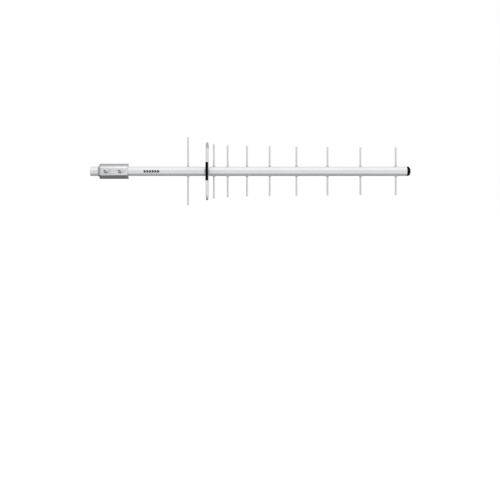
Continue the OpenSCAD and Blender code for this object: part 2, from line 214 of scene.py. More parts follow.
def sweep(path, radius, sides):
    """A round bar along a path that lies in one plane. radius(distance, angle) is its surface."""
    bm = bmesh.new()
    points = [Vector(p) for p in path]
    normal = (points[-1] - points[0]).cross(points[len(points) // 2] - points[0]).normalized()
    rings, travelled = [], 0.0
    for k, p in enumerate(points):
        if k:
            travelled += (p - points[k - 1]).length
        along = (points[min(k + 1, len(points) - 1)] - points[max(k - 1, 0)]).normalized()
        side = normal.cross(along).normalized()
        ring = []
        for j in range(sides):
            t = 2 * PI * j / sides
            out = radius(travelled, t) * (math.cos(t) * side - math.sin(t) * normal)
            ring.append(bm.verts.new(p + out))
        rings.append(ring)
    return skin(bm, rings)


def ridge(turns):
    """Height of a rounded screw thread at a place in turns: 0 at its root and 1 at its crest."""
    t = abs((turns % 1.0) * 2 - 1)
    return min(1.0, max(0.0, t * 1.35 - 0.175))


def threaded_bar(root, crest, length, pitch, sides=48, steps=8):
    """A bar along +Z with a right-hand thread that fades out near each end."""
    fade_out = pitch * 0.6
    turns = [2 * PI * j / sides for j in range(sides)]
    bm = bmesh.new()
    rings = []
    rows = int(length / pitch * steps)
    for k in range(rows + 1):
        s = length * k / rows
        fade = max(0.0, min(1.0, s / fade_out, (length - s) / fade_out))
        ring = []
        for t in turns:
            r = root + (crest - root) * ridge(s / pitch - t / (2 * PI)) * fade
            ring.append(bm.verts.new((r * math.cos(t), r * math.sin(t), s)))
        rings.append(ring)
    return skin(bm, rings)


def cross_screw(head_r, head_h, shank_r, shank_l):
    """A screw along +Z with its head's seat at z = 0, a domed head and a cross recess."""
    tip = [(0, -shank_l), (shank_r * 0.6, -shank_l), (shank_r, -shank_l + shank_r * 0.5), (shank_r, 0)]
    dome = ((1, 0), (1, 0.35), (0.93, 0.65), (0.72, 0.9), (0.4, 1), (0, 1))
    solid = lathe(tip + [(head_r * r, head_h * h) for r, h in dome], 40)
    wide, thin = head_r * 0.58, head_r * 0.15
    floor, top = head_h * 0.38, head_h + 0.2
    arms = []
    for x, y in ((wide, thin), (thin, wide)):
        arm = bmesh.new()
        rings = [[arm.verts.new((x * i * k, y * j * k, z)) for i, j in SQUARE]
                 for z, k in ((floor, 0.55), (top, 1.05))]
        arms.append(skin(arm, rings))
    return shaped(solid, cut=arms)


def together(parts):
    """Several separate meshes as one."""
    out = bmesh.new()
    for part in parts:
        mesh = bpy.data.meshes.new("part")
        part.to_mesh(mesh)
        part.free()
        out.from_mesh(mesh)
        bpy.data.meshes.remove(mesh)
    return out


def helper(bm):
    """A short-lived object for a modifier to work on."""
    mesh = bpy.data.meshes.new("helper")
    bm.to_mesh(mesh)
    bm.free()
    ob = bpy.data.objects.new("helper", mesh)
    scene.collection.objects.link(ob)
    return ob


def shaped(bm, join=(), cut=(), keep=(), bevel=0.0, segments=2):
    """Joins, cuts and trims a solid, then rounds every edge that is sharper than 35 degrees."""
    ob = helper(bm)
    helpers = [ob]
    for operation, others in (("UNION", join), ("DIFFERENCE", cut), ("INTERSECT", keep)):
        for other in others:
            helpers.append(helper(other))
            m = ob.modifiers.new("solid", "BOOLEAN")
            m.operation, m.solver, m.object = operation, "EXACT", helpers[-1]
    if bevel:
        m = ob.modifiers.new("round", "BEVEL")
        m.width, m.segments = bevel, segments
        m.limit_method, m.angle_limit = "ANGLE", math.radians(35)
        m.use_clamp_overlap = True
    shape = ob.evaluated_get(bpy.context.evaluated_depsgraph_get())
    out = bmesh.new()
    out.from_mesh(shape.to_mesh())
    shape.to_mesh_clear()
    for h in helpers:
        mesh = h.data
        bpy.data.objects.remove(h)
        bpy.data.meshes.remove(mesh)
    return out


def piece(name, bm, material, nodes, body="antenna", crease=38):
    """Makes a mesh a shown piece that stands for CAD nodes, with sharp edges above the crease."""
    bmesh.ops.recalc_face_normals(bm, faces=bm.faces)
    for face in bm.faces:
        face.smooth = True
    for edge in bm.edges:
        edge.smooth = edge.calc_face_angle(0) < math.radians(crease)
    bm.transform(Matrix.Scale(0.001, 4))
    mesh = bpy.data.meshes.new(name)
    bm.to_mesh(mesh)
    bm.free()
    ob = bpy.data.objects.new(name, mesh)
    scene.collection.objects.link(ob)
    mesh.materials.append(MAT[material])
    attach(ob, body)
    if nodes:
        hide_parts(*nodes)


# ------------------------------------------------------------------ materials

METAL, NOT_METAL = 1.0, 0.0


def add_node(tree, kind, inputs, **settings):
    """Adds a shader node. Its properties are set first, then its inputs are set or linked."""
    n = tree.nodes.new("ShaderNode" + kind)
    for key, value in settings.items():
        setattr(n, key, value)
    for key, value in inputs.items():
        if isinstance(value, bpy.types.NodeSocket):
            tree.links.new(value, n.inputs[key])
        else:
            n.inputs[key].default_value = value
    return n


class Shader:
    """A few shortcuts for wiring one Principled material in object coordinates."""

    def __init__(self, name, colour, metallic, roughness, **sockets):
        self.material = bpy.data.materials.new(name)
        self.material.use_nodes = True
        self.tree = self.material.node_tree
        self.shader = self.tree.nodes["Principled BSDF"]
        self.place = self.tree.nodes.new("ShaderNodeTexCoord").outputs["Object"]
        self.colour, self.roughness = colour, roughness
        self.shader.inputs["Metallic"].default_value = metallic
        for socket, value in sockets.items():
            self.shader.inputs[socket.replace("_", " ")].default_value = value

    def node(self, kind, inputs, **settings):
        """Adds a node to this material."""
        return add_node(self.tree, kind, inputs, **settings)

    def noise(self, size_mm, detail, stretch=(1, 1, 1)):
        """Noise from 0 to 1 with features of about a size, longer where the stretch is below 1."""
        mapped = self.node("Mapping", {"Vector": self.place, "Scale": stretch})
        size = {"Scale": 1000 / size_mm, "Detail": detail}
        n = self.node("TexNoise", {"Vector": mapped.outputs[0], **size})
        wide = self.node("MapRange", {"Value": n.outputs["Fac"], "From Min": 0.3, "From Max": 0.7})
        return wide.outputs[0]

    def grains(self, size_mm):
        """A different flat value for each cell, like the crystals of a zinc coat."""
        n = self.node("TexVoronoi", {"Vector": self.place, "Scale": 1000 / size_mm, "Randomness": 1.0})
        return self.node("SeparateColor", {"Color": n.outputs["Color"]}).outputs[0]

    def fade(self, value, start, end):
        """0 to 1, smoothly, as a length goes from start to end in millimetres."""
        inputs = {"Value": value, "From Min": start / 1000, "From Max": end / 1000}
        return self.node("MapRange", inputs, interpolation_type="SMOOTHSTEP").outputs[0]

    def along(self, axis, start, end):
        """0 to 1 as the place on an axis goes from start to end."""
        return self.fade(self.node("SeparateXYZ", {"Vector": self.place}).outputs[axis], start, end)

    def around(self, axis, centre, start, end):
        """0 to 1 as the distance from a plane across an axis goes from start to end."""
        split = self.node("SeparateXYZ", {"Vector": self.place})
        shift = self.node("Math", {0: split.outputs[axis], 1: centre / 1000}, operation="SUBTRACT")
        size = self.node("Math", {0: shift.outputs[0]}, operation="ABSOLUTE")
        return self.fade(size.outputs[0], start, end)

    def coat(self, node):
        """Takes a node's result as the base colour."""
        self.base = node.outputs["Result"]
        self.tree.links.new(self.base, self.shader.inputs["Base Color"])
        return self

    def paint(self, factor, *multiples):
        """Base colour between two multiples of the material's colour."""
        a, b = ((*(min(1.0, c * k) for c in self.colour), 1.0) for k in multiples)
        return self.coat(self.node("Mix", {"Factor": factor, "A": a, "B": b}, data_type="RGBA"))

    def painted_shade(self, factor, shade):
        """Multiplies the colour by a painted shade where the factor is 1."""
        inputs = {"Factor": factor, "A": self.base, "B": (*shade, 1.0)}
        return self.coat(self.node("Mix", inputs, data_type="RGBA", blend_type="MULTIPLY"))

    def gloss(self, factor, swing):
        """Roughness that varies by plus and minus the swing."""
        limits = {"To Min": self.roughness - swing, "To Max": self.roughness + swing}
        r = self.node("MapRange", {"Value": factor, **limits})
        self.tree.links.new(r.outputs[0], self.shader.inputs["Roughness"])
        return self

    def relief(self, *layers):
        """Bump layers, each a height from 0 to 1 and its depth in millimetres."""
        below = {}
        for height, depth in layers:
            inputs = {"Height": height, "Distance": depth / 1000, "Strength": 1.0, **below}
            bump = self.node("Bump", inputs)
            below = {"Normal": bump.outputs[0]}
        self.tree.links.new(bump.outputs[0], self.shader.inputs["Normal"])
        return self


def plain(name, colour, metallic, roughness, patches, tones, sheen, swing, bumps, **sockets):
    """A material of colour patches, gloss patches and bumps.

    Patches and sheen are what Shader.noise takes: a size, a detail and perhaps a stretch.
    A bump is the same with its depth at the end.
    """
    m = Shader(name, colour, metallic, roughness, **sockets)
    m.paint(m.noise(*patches), *tones).gloss(m.noise(*sheen), swing)
    return m.relief(*((m.noise(*bump), depth) for *bump, depth in bumps))


def grey(level):
    """A slightly cool grey."""
    return level, level + 0.005, level + 0.015


def make_boom_paint():
    """Fine orange peel, long low waves, and a painted shadow beside the front saddle's tail end."""
    m = Shader("pale_metallic_paint", (0.87, 0.875, 0.89), 0.45, 0.26,
               Coat_Weight=0.3, Coat_Roughness=0.15)
    m.paint(m.noise(55, 2), 0.975, 1.02).gloss(m.noise(9, 4), 0.06)
    m.relief((m.noise(1.9, 2), 0.004), (m.noise(60, 1, (0.1, 1, 1)), 0.05))
    return m.painted_shade(m.around("X", -20, 21.6, 20.2), (0.75, 0.75, 0.76))


def make_rod_aluminium():
    """Drawn rod, streaked along its length."""
    m = Shader("drawn_aluminium", (0.79, 0.795, 0.805), METAL, 0.34)
    streaks = m.noise(0.5, 3, (1, 1, 0.015))
    m.paint(m.noise(14, 4, (1, 1, 0.4)), 0.97, 1.02).gloss(streaks, 0.06)
    return m.relief((streaks, 0.005))


def make_dipole_aluminium():
    """Streaked rod with painted shade: darker at its upper bend, and a little at its lower one."""
    m = Shader("bent_aluminium", (0.90, 0.905, 0.915), METAL, 0.32)
    streaks = m.noise(0.6, 3, (1, 1, 0.02))
    m.paint(m.noise(11, 4, (1, 1, 0.5)), 0.96, 1.02).gloss(streaks, 0.06)
    m.relief((streaks, 0.006), (m.noise(4, 3), 0.005))
    m.painted_shade(m.along("Z", 57.5, 65.5), (0.52, 0.52, 0.54))
    return m.painted_shade(m.along("Z", -57.5, -63), (0.9, 0.9, 0.91))


def make_zinc_sheet(name, level, bow):
    """Zinc-plated sheet with crystals, roller lines and a slight bow along it."""
    m = Shader(name, grey(level), METAL, 0.31)
    m.paint(m.grains(3.2), 0.93, 1.03).gloss(m.noise(5, 5), 0.08)
    lines = m.noise(0.45, 3, (0.05, 1, 1))
    return m.relief((lines, 0.004), (m.noise(26, 1), 0.10), (m.around("X", 0, 45, 0), bow))


def make_fastener_zinc(name, level):
    """Zinc plating on small round parts."""
    return plain(name, grey(level), METAL, 0.25, patches=(3.5, 5), tones=(0.88, 1.04),
                 sheen=(2.2, 5), swing=0.08, bumps=[(0.35, 3, 0.004)])


def make_materials():
    """Every material of the antenna, by its short name."""
    made = {"paint": make_boom_paint(), "rod": make_rod_aluminium(), "dipole": make_dipole_aluminium()}

    # Painted shade: both sheets darken towards their tail end, and the bracket at its upper wing too;
    # the bracket's zinc is also a darker copy of the saddle's, standing in for shade.
    m = made["saddle"] = make_zinc_sheet("zinc_plated_saddle", 0.82, 0.9)
    m.painted_shade(m.along("X", -30, -38.5), (0.42, 0.42, 0.435))
    m = made["bracket"] = make_zinc_sheet("zinc_plated_bracket", 0.56, 0.3)
    m.painted_shade(m.along("X", -30, -38.5), (0.9, 0.9, 0.91)).painted_shade(m.along("Z", 12, 20), (0.8, 0.8, 0.81))

    # Painted shade: the U-bolt's ends are darker above, and the nuts and washers below.
    m = made["bolt"] = make_fastener_zinc("zinc_plated_bolt", 0.72)
    end = m.node("Math", {0: m.along("Y", -53, -58), 1: m.along("Z", -2.4, 1.4)}, operation="MULTIPLY")
    m.painted_shade(end.outputs[0], (0.3, 0.3, 0.31))
    m = made["nut"] = make_fastener_zinc("zinc_plated_nut", 0.84)
    m.painted_shade(m.along("Z", -0.6, -4.4), (0.36, 0.36, 0.37))

    made["screw"] = plain(
        "stainless_screw", (0.86, 0.865, 0.87), METAL, 0.36, patches=(1.8, 4), tones=(0.88, 1.04),
        sheen=(0.8, 4), swing=0.07, bumps=[(0.25, 2, 0.003)])
    made["black"] = plain(
        "black_moulded_plastic", (0.0022, 0.0022, 0.0025), NOT_METAL, 0.42, patches=(7, 4),
        tones=(0.7, 1.5), sheen=(2.5, 4), swing=0.08, bumps=[(0.32, 2, 0.010), (16, 1, 0.03)],
        Specular_IOR_Level=0.05)
    made["nylon"] = plain(
        "grey_nylon", (0.60, 0.605, 0.615), NOT_METAL, 0.4, patches=(4, 4), tones=(0.94, 1.05),
        sheen=(1.6, 3), swing=0.07, bumps=[(0.5, 2, 0.006)])
    made["pale"] = plain(
        "pale_moulded_plastic", (0.93, 0.935, 0.94), NOT_METAL, 0.36, patches=(9, 4),
        tones=(0.95, 1.03), sheen=(3, 4), swing=0.06, bumps=[(0.6, 2, 0.007)])
    made["nickel"] = plain(
        "nickel_plate", (0.74, 0.72, 0.67), METAL, 0.22, patches=(2.5, 4), tones=(0.90, 1.04),
        sheen=(0.5, 3, (1, 8, 1)), swing=0.06, bumps=[(0.22, 2, (1, 6, 1), 0.003)])
    made["gold"] = plain(
        "gold_plate", (0.90, 0.66, 0.24), METAL, 0.18, patches=(0.9, 3), tones=(0.92, 1.05),
        sheen=(0.5, 3), swing=0.05, bumps=[(0.2, 2, 0.002)])
    made["white"] = plain(
        "white_fluoropolymer", (0.86, 0.86, 0.84), NOT_METAL, 0.45, patches=(2, 3), tones=(0.96, 1.03),
        sheen=(0.7, 3), swing=0.05, bumps=[(0.25, 2, (1, 5, 1), 0.004)])
    made["brass"] = plain(
        "tinned_brass", (0.78, 0.62, 0.32), METAL, 0.3, patches=(1.5, 4), tones=(0.85, 1.06),
        sheen=(0.8, 4), swing=0.08, bumps=[(0.3, 2, 0.004)])
    made["coax"] = plain(
        "coax_jacket", (0.03, 0.03, 0.03), NOT_METAL, 0.5, patches=(3, 3), tones=(0.8, 1.3),
        sheen=(1.2, 3), swing=0.06, bumps=[(0.5, 2, 0.006)])
    made["ink"] = plain(
        "printed_ink", (0.016, 0.018, 0.028), NOT_METAL, 0.45, patches=(1.2, 4), tones=(0.7, 1.6),
        sheen=(0.8, 3), swing=0.08, bumps=[(0.4, 2, 0.002)])
    return {name: m.material for name, m in made.items()}


MAT = make_materials()


# ------------------------------------------------------------------ boom and nose cap

def build_boom():
    """The boom, with a hole for everything that goes through its wall."""
    length, c = BOOM_X1 - BOOM_X0, 0.3
    profile = [(BORE_R + c, 0), (BOOM_R - c, 0), (BOOM_R, c), (BOOM_R, length - c),
               (BOOM_R - c, length), (BORE_R + c, length), (BORE_R, length - c), (BORE_R, c)]
    tube = aim(lathe(profile, 96), TO_NOSE, (BOOM_X0, BOOM_Y, 0))
    front, back, over = BOOM_Y - BOOM_R - 2, BOOM_Y + BOOM_R + 2, BOOM_R + 2
    cuts = [bar((x, BOOM_Y, -over), (x, BOOM_Y, over), BUSH_HOLE_R) for x in ROD_X]
    for side, shift in zip(BOTH, SEAT_SCREWS):
        cuts.append(drill(side * LEG_X, front, back, BOLT_HOLE_R))
        cuts.append(drill(DIPOLE_X + shift, front, BOOM_Y, SEAT_SCREW_R, 24))
    cuts += [drill(x, BOOM_Y, back, SOCKET_SCREW_R, 24, z) for x, z in SOCKET_SPOTS]
    cuts.append(drill(DIPOLE_X, front, BOOM_Y, BOSS_R))
    cuts.append(drill(DIPOLE_X, BOOM_Y, back, CLIP_SCREW_R, 24))
    cuts.append(drill(CONN_X, BOOM_Y, back, SOCKET_BORE_R))
    piece("boom", shaped(tube, cut=[together(cuts)]), "paint", ["boom_tube"])


def build_cap():
    """The nose cap: a domed head on a rim, and a hollow plug with three ribs inside the boom."""
    out, rim = cad("nose_cap")[1].x - BOOM_X1, 4.5
    plug_r, rib_r, hollow_r, steps = BORE_R - 0.25, BORE_R - 0.02, BORE_R - 1.85, 20
    outline = [(0, -1.6), (hollow_r, -1.6), (hollow_r, -14), (BORE_R - 0.6, -14), (plug_r, -13.4)]
    for rib in (-10.5, -7.0, -3.5):
        outline += [(plug_r, rib), (rib_r, rib + 0.35), (rib_r, rib + 1.15), (plug_r, rib + 1.5)]
    outline += [(plug_r, 0), (BOOM_R - 0.2, 0), (BOOM_R, 0.2), (BOOM_R, rim - 0.5),
                (BOOM_R - 0.12, rim - 0.25)]
    for k in range(steps):
        t = PI / 2 * k / steps
        outline.append(((BOOM_R - 0.25) * math.cos(t), rim + (out - rim) * math.sin(t)))
    outline.append((0, out))
    cap = aim(lathe(outline, 96), TO_NOSE, (BOOM_X1, BOOM_Y, 0))
    piece("end_cap", cap, "black", ["nose_cap"], crease=50)


# ------------------------------------------------------------------ elements

def build_elements():
    """The reflector and the eight directors, each a rod with rounded ends."""
    c = 0.45
    for node, x in zip(ELEMENTS, ROD_X):
        low, high = cad(node)
        r = (high.x - low.x) / 2
        profile = [(0, low.z), (r - c, low.z), (r - 0.12, low.z + c * 0.6), (r, low.z + c * 1.4),
                   (r, high.z - c * 1.4), (r - 0.12, high.z - c * 0.6), (r - c, high.z), (0, high.z)]
        rod = aim(lathe(profile), (0, 0, 1), (x, BOOM_Y, 0))
        piece(node + "_rod", rod, "rod", [node])


def bush(x, up):
    """A flanged bush with a lip at the top and a shallow groove under it."""
    top = cad("element_bushes")[1].z
    bore, neck, r, inside = 2.52, 3.0, 3.5, BORE_R - 0.4
    bm = lathe([(bore, inside), (neck, inside), (neck, 0), (r, 0), (r - 0.1, top - 1.5),
                (r - 0.3, top - 1.3), (r - 0.3, top - 1.05), (r - 0.08, top - 0.85),
                (r - 0.08, top - 0.3), (r - 0.35, top), (bore + 0.25, top), (bore, top - 0.25)], 40)
    for v in bm.verts:
        if abs(v.co.z) < 1e-6:  # the flange's foot, drawn at height 0, follows the boom's surface
            v.co.z = math.sqrt(BOOM_R ** 2 - v.co.y ** 2)
    return aim(bm, (0, 0, up), (x, BOOM_Y, 0))


def build_bushes():
    """A bush above and below the boom on each rod."""
    bushes = together([bush(x, up) for x in ROD_X for up in BOTH])
    piece("rod_bushes", bushes, "nylon", ["element_bushes"])


# ------------------------------------------------------------------ folded dipole and its feed

def build_dipole():
    """One bent rod, whose two ends step down to the spigots inside the feed block."""
    bend_z = DIPOLE_TOP - DIPOLE_R - LOOP_R
    heights = (6, 6.4, 24.1, 24.2, 24.6, 40)  # spigot, its step up to the rod, and the leg
    path = [(DIPOLE_X, LEG_FRONT_Y, z) for z in heights]
    path += [(DIPOLE_X, y, z) for y, z in arc((BOOM_Y, bend_z), LOOP_R, 180, 0, 36)]
    path += [(DIPOLE_X, LEG_REAR_Y, z) for z in (40, 20, 0, -20, -40)]
    path += [(DIPOLE_X, y, -z) for y, z in arc((BOOM_Y, bend_z), LOOP_R, 0, 180, 36)]
    path += [(DIPOLE_X, LEG_FRONT_Y, -z) for z in reversed(heights)]
    total = length_of(path)
    steps = ((0.2, 2.1), (18.15, SPIGOT_R), (18.4, DIPOLE_R - 0.3))

    def radius(s, _):
        from_end = min(s, total - s)
        return next((r for limit, r in steps if from_end < limit), DIPOLE_R)

    piece("dipole_rod", sweep(path, radius, 40), "dipole", ["dipole_loop"])


def feed_slab(y0, y1, over=0):
    """A box as wide and tall as the feed block, or larger all round, between two depths."""
    return block((FEED_X0 - over, y0, -FEED_HALF - over), (FEED_X1 + over, y1, FEED_HALF + over))


def feed_half(body, lip, shelf, bevel):
    """A half of the feed block, well rounded outside, and its less rounded lip at the split."""
    half = shaped(feed_slab(*body), bevel=bevel, segments=4)
    edge = shaped(feed_slab(*lip), bevel=0.14)
    return shaped(half, cut=[feed_slab(*shelf, over=1)]), edge


def feed_hollow():
    """What both halves leave room for: the dipole's spigots, and the tags between them."""
    x, y, over = DIPOLE_X, LEG_FRONT_Y, FEED_HALF + 2
    side, deep, tall = 2.4, 2.6, 6.2
    return [bar((x, y, -over), (x, y, over), SPIGOT_R),
            block((x - side, y - deep, -tall), (x + side, y + deep, tall))]


def build_feed():
    """The feed block's two halves, split at the dipole's front leg, and their screws from behind."""
    split, gap, boss_y = LEG_FRONT_Y, 0.03, cad("feed_block_rear")[1].y
    near = split - gap
    front, lip = feed_half((FEED_Y0, near), (split - 2.2, near), (split - 1.6, split + 5), 0.95)
    panel = shaped(block((FEED_X0 + 1.5, FEED_Y0 - 1, -FEED_HALF + 2.6),
                         (FEED_X1 - 1.5, FEED_Y0 + 0.3, FEED_HALF - 2.6)), bevel=0.25)
    holes = [drill(DIPOLE_X, FEED_Y0 + 1.4, FEED_Y1 + 1, BLOCK_SCREW_R, 32, z) for z in BLOCK_SCREWS]
    front = shaped(front, join=[lip], cut=[panel] + feed_hollow() + holes)
    piece("feed_cover", front, "black", ["feed_block_front"])

    far = split + gap
    rear, lip = feed_half((far, FEED_Y1), (far, split + 2.0), (split - 5, split + 1.4), 0.9)
    boss = drill(DIPOLE_X, FEED_Y1 - 1.5, boss_y, BOSS_R)
    wire = drill(DIPOLE_X, split, boss_y + 1, 1.4, 32)
    holes = [drill(DIPOLE_X, split - 1, FEED_Y1 + 1, BLOCK_SCREW_R, 32, z) for z in BLOCK_SCREWS]
    rear = shaped(rear, join=[lip, boss], cut=feed_hollow() + [wire] + holes)
    piece("feed_base", rear, "black", ["feed_block_rear"])

    screws = [aim(cross_screw(2.25, 1.55, BLOCK_SCREW_R, 6.2), TO_BACK, (DIPOLE_X, FEED_Y1, z))
              for z in BLOCK_SCREWS]
    piece("feed_cover_screws", together(screws), "screw", ["feed_block_screws"])


def build_seat():
    """The saddle between the feed block and the boom, and its two screws."""
    low, high = cad("feed_saddle")
    seat = shaped(block((low.x, FEED_Y1, low.z), (high.x, high.y, high.z)), bevel=0.8, segments=3)
    holes = [drill(DIPOLE_X + x, FEED_Y1 - 1, BOOM_Y, SEAT_SCREW_R, 40) for x in SEAT_SCREWS]
    holes.append(drill(DIPOLE_X, FEED_Y1 - 1, BOOM_Y, BOSS_R, 40))
    seat = shaped(seat, cut=[around_boom(low.x - 5, high.x + 5)] + holes, bevel=0.12)
    piece("feed_seat", seat, "pale", ["feed_saddle"])
    screws = [aim(cross_screw(2.3, 1.45, SEAT_SCREW_R, 5), TO_FRONT, (DIPOLE_X + x, FEED_Y1, 0))
              for x in SEAT_SCREWS]
    piece("feed_seat_screws", together(screws), "screw", ["feed_saddle_screws"])


def build_clip():
    """The clip on the boom's back that snaps round the dipole's rear leg, and its sunk screw."""
    low, high = cad("loop_clip")
    arm, base_y, mouth, seat_y = 5.395, BOOM_Y + BOOM_R + 1.4, 2.5, cad("loop_clip_screw")[1].y
    base = block((low.x, BOOM_Y, low.z), (high.x, base_y, high.z))
    arms = block((DIPOLE_X - arm, BOOM_Y, low.z), (DIPOLE_X + arm, high.y, high.z))
    leg = bar((DIPOLE_X, LEG_REAR_Y, low.z - 5), (DIPOLE_X, LEG_REAR_Y, high.z + 5),
              DIPOLE_R + 0.02, 96)
    opening = block((DIPOLE_X - mouth, LEG_REAR_Y, -30), (DIPOLE_X + mouth, LEG_REAR_Y + 20, 30))
    sink = lathe([(0, 0), (CLIP_SCREW_R, 0), (CLIP_SCREW_R, 8.7), (2.75, 10), (2.75, 16), (0, 16)], 40)
    sink = aim(sink, TO_BACK, (DIPOLE_X, seat_y - 10, 0))
    cuts = [around_boom(low.x - 5, high.x + 5), leg, opening, sink]
    clip = shaped(base, join=[arms], cut=cuts, bevel=0.3, segments=3)
    piece("dipole_clip", clip, "pale", ["loop_clip"])
    screw = lathe([(0, -6), (0.8, -6), (1.43, -5.2), (1.43, -1.3), (2.72, -0.05), (2.72, 0),
                   (0, 0)], 40)
    screw = aim(screw, TO_BACK, (DIPOLE_X, seat_y, 0))
    piece("dipole_clip_screw", screw, "screw", ["loop_clip_screw"])


# ------------------------------------------------------------------ connector

def build_connector_pad():
    """The pad between the boom's back and the socket's flange."""
    low, high = cad("connector_seat")
    pad = shaped(block((low.x, low.y - 2, low.z), (high.x, FLANGE_Y, high.z)), bevel=1.4, segments=4)
    trim = block((low.x - 1, low.y, low.z - 1), (high.x + 1, FLANGE_Y + 1, high.z + 1))
    pad = shaped(pad, keep=[trim])
    holes = [drill(x, BOOM_Y, FLANGE_Y + 1, SOCKET_SCREW_R, 32, z) for x, z in SOCKET_SPOTS]
    middle = drill(CONN_X, BOOM_Y, FLANGE_Y + 1, SOCKET_BORE_R)
    pad = shaped(pad, cut=[around_boom(low.x - 5, high.x + 5), middle] + holes, bevel=0.15)
    piece("connector_pad", pad, "black", ["connector_seat"])


def build_connector_shell(insert_y, back_y):
    """Square flange, stem into the boom and threaded barrel, bored for the insulator."""
    half, corner = FLANGE_W / 2, 1.2
    flange = prism(rounded([(i * half, j * half, corner) for i, j in SQUARE]), 0, FLANGE_T)
    swap_xy = Matrix(((0, 1, 0, 0), (1, 0, 0, 0), (0, 0, 1, 0), (0, 0, 0, 1)))
    flange.transform(Matrix.Translation((CONN_X, FLANGE_Y, 0)) @ swap_xy)
    holes = [drill(x, FLANGE_Y - 1, FLANGE_Y + 3, SOCKET_SCREW_R, 32, z) for x, z in SOCKET_SPOTS]
    flange = shaped(flange, cut=holes, bevel=0.18)

    at = (CONN_X, CONN_END_Y, 0)
    start, barrel, insert, back, mouth = (
        y - CONN_END_Y for y in (FLANGE_Y, BARREL_Y, insert_y, back_y, MOUTH_Y))
    stem = lathe([(0, 0), (4.2, 0), (4.4, 0.2), (4.4, start + 0.5), (6.5, start + 1),
                  (6.5, barrel - 0.5), (6.7, barrel + 0.3), (0, barrel + 0.3)], 64)
    long = MOUTH_Y - BARREL_Y
    thread = aim(threaded_bar(7.3, 7.94, long, 1.058, 64), TO_BACK, (CONN_X, BARREL_Y, 0))
    trim = lathe([(0, 0), (7.2, 0), (8.1, 0.9), (8.1, long - 0.7), (7.3, long), (0, long)], 64)
    thread = shaped(thread, keep=[aim(trim, TO_BACK, (CONN_X, BARREL_Y, 0))])
    bore = lathe([(0, 0), (2, 0), (2, back + 1), (3.5, back + 1), (3.5, insert), (4.05, insert),
                  (4.05, mouth - 0.4), (4.5, mouth + 0.05), (4.5, mouth + 1), (0, mouth + 1)], 64)
    bore = aim(bore, TO_BACK, at)
    bore.transform(Matrix.Translation((0, -0.001, 0)))  # so that its shoulder isn't in the other's end
    widen = lathe([(0, -1), (3.5, -1), (3.5, insert - back), (0, insert - back)], 64)
    widen = aim(widen, TO_BACK, (CONN_X, back_y, 0))
    shell = shaped(flange, join=[aim(stem, TO_BACK, at), thread], cut=[bore, widen])
    piece("connector_body", shell, "nickel", ["connector_shell"], crease=30)


def build_connector_inside(insert_y, back_y):
    """The insulator, the slotted contact in it, and the flange's four screws."""
    depth = insert_y - back_y
    insert = lathe([(1.5, 0), (3.5, 0), (3.5, depth), (3.1, depth), (2.9, depth - 0.5),
                    (2.1, depth - 0.5), (1.9, depth), (1.5, depth)])
    insert = aim(insert, TO_BACK, (CONN_X, back_y, 0))
    piece("connector_insert", insert, "white", ["connector_insulator"])
    low, high = cad("connector_contact")
    long = high.y - low.y
    pin = lathe([(0, 0), (1.5, 0), (1.5, long - 0.5), (1.25, long - 0.1), (1.05, long), (0.83, long),
                 (0.83, long - 4.9), (0, long - 5)])
    slots = [block((-x, -y, long - 3.6), (x, y, long + 1)) for x, y in ((0.14, 2), (2, 0.14))]
    pin = aim(shaped(pin, cut=slots), TO_BACK, (CONN_X, low.y, 0))
    piece("connector_pin", pin, "gold", ["connector_contact"])
    screws = [aim(cross_screw(2.2, 1.45, SOCKET_SCREW_R, 10), TO_BACK, (x, FLANGE_Y + FLANGE_T, z))
              for x, z in SOCKET_SPOTS]
    piece("connector_screw_set", together(screws), "screw", ["connector_screws"])


def build_connector():
    """The feed line's socket on the boom's back."""
    low, high = cad("connector_insulator")
    build_connector_pad()
    build_connector_shell(high.y, low.y)
    build_connector_inside(high.y, low.y)


# ------------------------------------------------------------------ mast clamp

def build_clamp_saddle():
    """The pressing in front of the boom: a flat face that bends back above and below."""
    t, r, half, front, back = 1.5, 8.0, SADDLE_HALF, SADDLE_Y, SADDLE_BACK_Y
    outline = rounded([(back, -half, 0), (front, -half, r), (front, half, r), (back, half, 0),
                       (back, half - t, 0), (front + t, half - t, r - t), (front + t, -half + t, r - t),
                       (back, -half + t, 0)], 12)
    sheet = prism(outline, -CLAMP_L / 2, CLAMP_L / 2)
    holes = [drill(s * LEG_X, SADDLE_Y - 2, BOOM_Y, BOLT_HOLE_R) for s in BOTH]
    sheet = shaped(sheet, cut=holes, bevel=0.3, segments=3)
    piece("front_saddle", sheet, "saddle", ["clamp_saddle"])


def climb(y, z, radius):
    """Where a line that climbs at 45 degrees from a point leaves a circle round the boom's axis."""
    k = 0
    while math.hypot(y + k * 0.001 - BOOM_Y, z + k * 0.001) < radius:
        k += 1
    return y + k * 0.001, z + k * 0.001


def bracket_outline():
    """Section of the bracket: a trough behind the boom, and two wings that run back to the mast."""
    t, half, front, back = 2.0, BRACKET_HALF, BRACKET_Y0, BRACKET_Y1
    trough, flat = BOOM_R + 0.05, 1.6
    cut = half - trough - flat
    inner = cut - t * (2 - math.sqrt(2))
    y, z = climb(front + t, half - t - inner, trough + t)
    meet = math.degrees(math.atan2(z, y - BOOM_Y))
    upper = rounded([(back, half - t, 0), (back, half, 0), (front + cut, half, 3.0),
                     (front, half - cut, 0.9), (front, trough, 0), (BOOM_Y, trough, 0)], 8)
    outline = upper + arc((BOOM_Y, 0), trough, 88, -88, 60)
    outline += [(p[0], -p[1]) for p in reversed(upper)]
    outline += rounded([(back, -half + t, 0), (front + t + inner, -half + t, 1.0), (y, -z, 0)])[1:]
    outline += arc((BOOM_Y, 0), trough + t, -meet, meet, 60)
    return outline + rounded([(y, z, 0), (front + t + inner, half - t, 1.0), (back, half - t, 0)])[1:-1]


